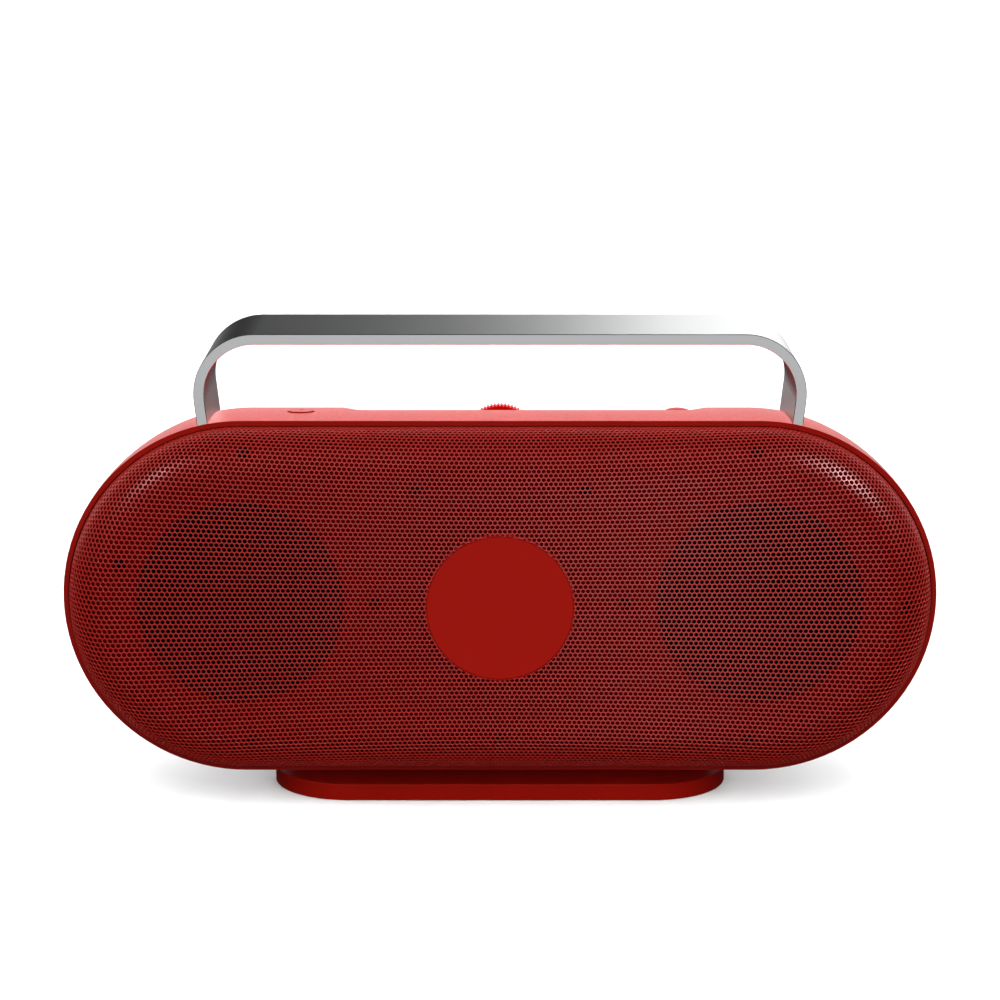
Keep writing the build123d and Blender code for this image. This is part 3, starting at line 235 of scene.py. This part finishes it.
FINISHES = {
    "red_shell": (moulded, dict(colour=RED, roughness=0.36, specular=0.07)),
    "red_grille": (powder_coat, dict(colour=(0.36, 0.013, 0.009), roughness=0.34, specular=0.3)),
    "red_badge": (moulded, dict(colour=(0.315, 0.007, 0.0035), roughness=0.42, grain=5200, depth=0.000008,
                                specular=0.05, vary=0.02)),
    "red_baffle": (moulded, dict(colour=(0.085, 0.0012, 0.001), roughness=0.55, specular=0.02, vary=0.1)),
    "red_dial": (moulded, dict(colour=(0.42, 0.0015, 0.0012), roughness=0.4, grain=3800, depth=0.00001,
                               specular=0.04)),
    "red_button": (moulded, dict(colour=shade(RED, 0.9), roughness=0.36, specular=0.07)),
    "red_rubber": (moulded, dict(colour=shade(RED, 0.85), roughness=0.6, grain=3200, depth=0.00003,
                                 specular=0.3)),
    "handle_metal": (blasted_aluminium, dict(colour=(0.46, 0.465, 0.47), roughness=0.43)),
    "black_rubber": (moulded, dict(colour=(0.003, 0.003, 0.003), roughness=0.65, grain=2200, depth=0.00003,
                                   specular=0.03, vary=0.15)),
    "black_plastic": (moulded, dict(colour=BLACK, roughness=0.5, specular=0.2, vary=0.12)),
    "black_steel": (powder_coat, dict(colour=BLACK, roughness=0.45, specular=0.2)),
    # the screws' near-black colour is painted shade: it stands in for the shade in the screw wells
    "screw_steel": (bare_metal, dict(colour=(0.006, 0.006, 0.006), roughness=0.5)),
    "plate_steel": (bare_metal, dict(colour=(0.42, 0.42, 0.41), roughness=0.34, brushed=(1, 8, 1))),
    "cone_paper": (moulded, dict(colour=(0.0015, 0.0015, 0.0015), roughness=0.8, grain=1400, depth=0.00006,
                                 specular=0.01, vary=0.25)),
    "spider_cloth": (moulded, dict(colour=(0.42, 0.27, 0.08), roughness=0.8, grain=1600, depth=0.00008,
                                   specular=0.2, vary=0.2)),
    "coil_copper": (bare_metal, dict(colour=(0.62, 0.26, 0.11), roughness=0.3, brushed=(1, 30, 1))),
    "magnet_ferrite": (moulded, dict(colour=(0.025, 0.025, 0.027), roughness=0.5, grain=900, depth=0.00005,
                                     vary=0.2)),
    "board_green": (moulded, dict(colour=(0.008, 0.09, 0.03), roughness=0.3, grain=1500, depth=0.00001,
                                  vary=0.15)),
    "cell_wrap": (moulded, dict(colour=(0.02, 0.17, 0.36), roughness=0.25, grain=600, depth=0.00001,
                                vary=0.05)),
    "sink_metal": (bare_metal, dict(colour=(0.5, 0.51, 0.52), roughness=0.4, brushed=(1, 1, 12))),
    "socket_metal": (bare_metal, dict(colour=(0.6, 0.6, 0.61), roughness=0.25)),
}
finishes = {name: make(name, **settings) for name, (make, settings) in FINISHES.items()}


def dress(obj, finish):
    """Gives a piece one finish."""
    obj.data.materials.clear()
    obj.data.materials.append(finishes[finish])


for sub in frame["record"]["subparts"]:
    dress(nodes[sub["node"]], sub["material_slot"])


# ---------------------------------------------------------------- mesh helper
def add_piece(name, points, triangles, finish, body):
    """A smooth mesh from arrays, with crisp corners, dressed and riding on a body."""
    mesh = bpy.data.meshes.new(name)
    mesh.vertices.add(len(points))
    mesh.vertices.foreach_set("co", points.astype(np.float32).ravel())
    mesh.loops.add(triangles.size)
    mesh.loops.foreach_set("vertex_index", triangles.astype(np.int32).ravel())
    mesh.polygons.add(len(triangles))
    mesh.polygons.foreach_set("loop_start", np.arange(0, triangles.size, 3, dtype=np.int32))
    mesh.update(calc_edges=True)
    mesh.polygons.foreach_set("use_smooth", np.ones(len(triangles), bool))
    mesh.set_sharp_from_angle(angle=CRISP_ANGLE)
    obj = bpy.data.objects.new(name, mesh)
    bpy.context.scene.collection.objects.link(obj)
    dress(obj, finish)
    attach(obj, body)
    return obj


# ---------------------------------------------------------------- grille
def stretch(u, v):
    """The pressed sheet is drawn out towards its ends, so the holes grow and the rows fan out there."""
    return u + END_STRETCH * (u ** 3 - 3 * u * v ** 2), v + END_STRETCH * (3 * u ** 2 * v - v ** 3)


def wrap(u, v, depth):
    """Bends the flat sheet round the body's edge: (u, v) on the sheet and a depth into it, to x, y, z."""
    u, v = stretch(u, v)
    from_badge = np.maximum(np.hypot(u, v), NEARLY_ZERO)
    push = np.maximum(BADGE_HOLE / from_badge, 1)
    u, v = u * push, v * push
    axis_u = np.clip(u, -HALF_SPAN, HALF_SPAN)
    reach = np.hypot(u - axis_u, v)
    safe = np.maximum(reach, NEARLY_ZERO)
    out_u, out_v = (u - axis_u) / safe, v / safe
    turn = np.clip((reach - FLAT_RADIUS) / BULGE, 0, math.pi / 2)
    skirt = np.maximum(reach - FLAT_RADIUS - EDGE_ARC, 0)
    flat = np.minimum(reach, FLAT_RADIUS)
    radius = flat + (BULGE - depth) * np.sin(turn)
    y = RIM_Y - (BULGE - depth) * np.cos(turn) + skirt
    return np.stack([axis_u + out_u * radius, y, CENTRE_Z + out_v * radius], axis=-1)


def lattice():
    """Hole centres in rows, as whole numbers: half pitches across and rows up."""
    rows = int(SHEET_LIMIT / ROW_PITCH) + SPARE_ROWS
    columns = int((HALF_SPAN + SHEET_LIMIT) / HOLE_PITCH) + 1
    across, up = np.meshgrid(np.arange(-2 * columns, 2 * columns + 1), np.arange(-rows, rows + 1))
    across, up = across.ravel(), up.ravel()
    in_step = (across + up) % 2 == 0
    across, up = across[in_step], up[in_step]
    u, v = stretch(across * HOLE_PITCH / 2, up * ROW_PITCH)
    reach = np.hypot(u - np.clip(u, -HALF_SPAN, HALF_SPAN), v)
    keep = (reach < SHEET_LIMIT) & (np.hypot(u, v) > BADGE_HOLE - HOLE_PITCH / 2)
    return across[keep], up[keep]


def perforated(across, up):
    """A closed perforated sheet of six-sided cells, each with one round hole with a small rounded lip."""
    cells = len(across)
    # a cell's corners round its hole: half pitches across, thirds of a row up
    corner_steps = np.array([(0, 2), (-1, 1), (-1, -1), (0, -2), (1, -1), (1, 1)])
    key_across = across[:, None] + corner_steps[:, 0]
    key_up = 3 * up[:, None] + corner_steps[:, 1]
    keys = np.stack([key_across, key_up], -1).reshape(-1, 2)
    corners, corner_of = np.unique(keys, axis=0, return_inverse=True)
    corner_of = corner_of.reshape(cells, CELL_SIDES)
    corner_u, corner_v = corners[:, 0] * HOLE_PITCH / 2, corners[:, 1] * ROW_PITCH / 3

    angle = math.pi / 2 + np.arange(HOLE_SIDES) * 2 * math.pi / HOLE_SIDES
    centre_u, centre_v = across * HOLE_PITCH / 2, up * ROW_PITCH

    def hole_ring(radius, depth):
        """Points round every hole, at one radius and depth."""
        ring_u = centre_u[:, None] + radius * np.cos(angle)
        ring_v = centre_v[:, None] + radius * np.sin(angle)
        return wrap(ring_u, ring_v, depth).reshape(-1, 3)

    layers = [wrap(corner_u, corner_v, 0.0), wrap(corner_u, corner_v, SHEET_THICKNESS),
              hole_ring(HOLE_RADIUS + HOLE_LIP, 0.0),
              hole_ring(HOLE_RADIUS, LIP_DEPTH),
              hole_ring(HOLE_RADIUS, SHEET_THICKNESS)]
    starts = np.cumsum([0] + [len(layer) for layer in layers])
    ring = np.arange(cells * HOLE_SIDES).reshape(cells, HOLE_SIDES)
    lip, edge, rear = (starts[i] + ring for i in (2, 3, 4))
    step = HOLE_SIDES // CELL_SIDES

    def web(corner_start, ring_ids, flip):
        """Triangles between the six corners and the hole's ring, on one side of the sheet."""
        out = []
        for k in range(CELL_SIDES):
            a = corner_start + corner_of[:, k]
            b = corner_start + corner_of[:, (k + 1) % CELL_SIDES]
            r = [ring_ids[:, (step * k + i) % HOLE_SIDES] for i in range(step + 1)]
            half = step // 2
            out += [(a, r[i], r[i + 1]) for i in range(half)] + [(a, r[half], b)]
            out += [(b, r[i], r[i + 1]) for i in range(half, step)]
        tris = np.concatenate([np.stack(t, -1) for t in out])
        return tris[:, ::-1] if flip else tris

    def band(first, second):
        """Triangles between two rings of the same hole."""
        a, b = first.ravel(), np.roll(first, -1, 1).ravel()
        c, d = second.ravel(), np.roll(second, -1, 1).ravel()
        return np.concatenate([np.stack((a, c, b), -1), np.stack((b, c, d), -1)])

    rims = np.stack([corner_of, np.roll(corner_of, -1, 1)], -1).reshape(-1, 2)
    _, first, count = np.unique(np.sort(rims, 1), axis=0, return_index=True, return_counts=True)
    border = rims[first[count == 1]]
    a, b = border[:, 0], border[:, 1]
    depth = starts[1]
    wall = np.concatenate([np.stack((a, a + depth, b), -1), np.stack((b, a + depth, b + depth), -1)])
    sheets = [web(0, lip, False), web(depth, rear, True)]
    triangles = np.concatenate([*sheets, band(lip, edge), band(edge, rear), wall])
    return np.concatenate(layers), triangles


def build_grille():
    """The perforated sheet, in panels side by side."""
    across, up = lattice()
    order = np.argsort(across, kind="stable")
    panels = []
    for number, part in enumerate(np.array_split(order, GRILLE_PANELS)):
        points, triangles = perforated(across[part], up[part])
        panels.append(add_piece(f"grille_mesh_{number + 1}", points, triangles, "red_grille", "body"))
    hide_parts("front_grille")
    return panels


grille = build_grille()


# ---------------------------------------------------------------- stage
def make_floor():
    """A plain pale floor that throws no light back at the object."""
    mesh = bpy.data.meshes.new("floor")
    corners = [(x * FLOOR_HALF, y * FLOOR_HALF, 0) for x, y in ((-1, -1), (1, -1), (1, 1), (-1, 1))]
    mesh.from_pydata(corners, [], [list(range(len(corners)))])
    floor = bpy.data.objects.new("floor", mesh)
    bpy.context.scene.collection.objects.link(floor)
    mat, _, shader = new_material("floor_paint")
    shader.inputs["Base Color"].default_value = FLOOR_WHITE
    shader.inputs["Roughness"].default_value = 0.9
    shader.inputs["Specular IOR Level"].default_value = 0.0
    mesh.materials.append(mat)
    floor.visible_diffuse = False
    floor.visible_glossy = False
    return floor


def link(light, objects, state, unshadowed=()):
    """A light reaches only these (INCLUDE) or all but these (EXCLUDE); the unshadowed don't block it."""
    for part, members, link_state in (("receiver", objects, state), ("blocker", unshadowed, "EXCLUDE")):
        if members:
            linked = bpy.data.collections.new(f"{light.name}_{part}s")
            setattr(light.light_linking, f"{part}_collection", linked)
            for obj in members:
                linked.objects.link(obj)
            for item in linked.collection_objects:
                item.light_linking.link_state = link_state


def sky_light(name, wide, tilt, strength):
    """Even light from a disc of sky, wide degrees across, tilted (x, y) degrees from overhead."""
    data = bpy.data.lights.new(name, "SUN")
    data.angle = math.radians(wide)
    data.energy = strength
    light = bpy.data.objects.new(name, data)
    light.rotation_euler = [math.radians(t) for t in tilt] + [0]
    bpy.context.scene.collection.objects.link(light)
    return light


def area_light(name, place, target, size, radiance):
    """A rectangular softbox that points at target, unseen by the camera."""
    data = bpy.data.lights.new(name, "AREA")
    data.shape = "RECTANGLE"
    data.size, data.size_y = size
    data.energy = radiance * math.pi * size[0] * size[1]
    light = bpy.data.objects.new(name, data)
    light.location = place
    light.rotation_euler = (Vector(target) - Vector(place)).to_track_quat("-Z", "Y").to_euler()
    light.visible_camera = False
    bpy.context.scene.collection.objects.link(light)
    return light


def make_world():
    """White to the camera, and nearly black to everything else."""
    world = bpy.data.worlds.new("studio")
    bpy.context.scene.world = world
    world.use_nodes = True
    tree = world.node_tree
    path = tree.nodes.new("ShaderNodeLightPath")
    background = tree.nodes["Background"]
    background.inputs["Color"].default_value = (1, 1, 1, 1)
    strength = ramp(tree, path.outputs["Is Camera Ray"], (0, 1), WORLD_GLOW, 1.0)
    tree.links.new(strength, background.inputs["Strength"])


def all_but_the_foot():
    """Every piece of the speaker except its foot plinth."""
    return [obj for obj in nodes.values() if obj != nodes["foot_plinth"]] + grille


def light_the_floor(floor):
    """Wide light for the floor: one part that everything shadows, and one that only the foot does."""
    link(sky_light("floor_light", wide=165, tilt=(8, 0), strength=2.9), [floor], "INCLUDE")
    contact = sky_light("floor_contact", wide=165, tilt=(2, 0), strength=1.25)
    link(contact, [floor], "INCLUDE", all_but_the_foot())


def light_the_body(floor):
    """Light from above, behind and in front for every red part, with a fill of its own for the foot."""
    handle, foot = [nodes["handle"]], [nodes["foot_plinth"]]
    link(sky_light("dome", wide=178, tilt=(0, 0), strength=1.25), handle, "EXCLUDE", handle)
    back = sky_light("back", wide=60, tilt=(-45, 0), strength=9.0)
    back.visible_glossy = False
    link(back, handle + grille + [floor], "EXCLUDE", handle)
    front = sky_light("front", wide=70, tilt=(56, 0), strength=2.8)
    front.visible_glossy = False
    link(front, handle, "EXCLUDE", handle)
    panel = area_light("back_panel", place=(0, 1.5, 0.6), target=(0, 0, 0.1),
                       size=(5, 1.5), radiance=1.1)
    link(panel, handle + foot + [floor], "EXCLUDE", handle)
    glow = area_light("ground_glow", place=(0, 0, 0.0005), target=(0, 0, 1),
                      size=(6, 6), radiance=0.4)
    glow.visible_diffuse = False
    link(glow, handle + grille + foot + [floor], "EXCLUDE")
    foot_fill = area_light("foot_fill", place=(0, -0.55, 0.5), target=(0, 0, 0),
                           size=(0.8, 0.3), radiance=1.4)
    link(foot_fill, foot, "INCLUDE", all_but_the_foot())


def light_the_grille(floor):
    """Reflections in the grille alone: two crossed strips in front, and a glint at each upper corner."""
    shines = (
        area_light("strip_front", place=(0.09, -0.5, -0.02), target=(0.09, 0, -0.02),
                   size=(0.08, 0.6), radiance=4.0),
        area_light("bar_front", place=(0.05, -0.5, 0.05), target=(0.05, 0, 0.05),
                   size=(0.35, 0.07), radiance=4.0),
        area_light("glint_left", place=(-0.9, -0.6, 0.9), target=(-0.1, 0, 0.1),
                   size=(0.3, 0.3), radiance=30.0),
        area_light("glint_right", place=(0.9, -0.6, 0.9), target=(0.1, 0, 0.1),
                   size=(0.5, 0.5), radiance=40.0),
    )
    for shine in shines:
        shine.visible_diffuse = False
        link(shine, grille, "INCLUDE", [floor])


def light_the_handle():
    """Cards for the metal handle alone, which give its top a gradient and its front face an even grey."""
    cards = (
        area_light("card_back", place=(0.85, 1.5, 0.8), target=(0, 0, 0.3),
                   size=(1.7, 0.9), radiance=3.8),
        area_light("card_left", place=(-0.5, 1.5, 0.06), target=(0, 0, 0.2),
                   size=(0.7, 0.25), radiance=1.6),
        area_light("card_front", place=(0, -0.9, 0.1), target=(0, 0, 0.2),
                   size=(1.6, 0.8), radiance=1.65),
    )
    for card in cards:
        link(card, [nodes["handle"]], "INCLUDE")


def make_lights(floor):
    """Every light of the studio, each linked to the parts that it is for."""
    light_the_body(floor)
    light_the_floor(floor)
    light_the_grille(floor)
    light_the_handle()


def make_camera():
    """The camera looks slightly down on the front, a little above the body's centre line."""
    data = bpy.data.cameras.new("camera")
    data.sensor_width = SENSOR_WIDTH
    data.lens = LENS
    data.clip_start, data.clip_end = CLIP
    camera = bpy.data.objects.new("camera", data)
    aim = Vector((0, RIM_Y, CENTRE_Z + AIM_ABOVE_CENTRE))
    forward = Vector((0, math.cos(CAMERA_PITCH), -math.sin(CAMERA_PITCH)))
    camera.location = aim - forward * CAMERA_DISTANCE
    camera.rotation_euler = forward.to_track_quat("-Z", "Y").to_euler()
    bpy.context.scene.collection.objects.link(camera)
    bpy.context.scene.camera = camera


bpy.context.scene.view_settings.view_transform = "Standard"
make_world()
make_lights(make_floor())
make_camera()
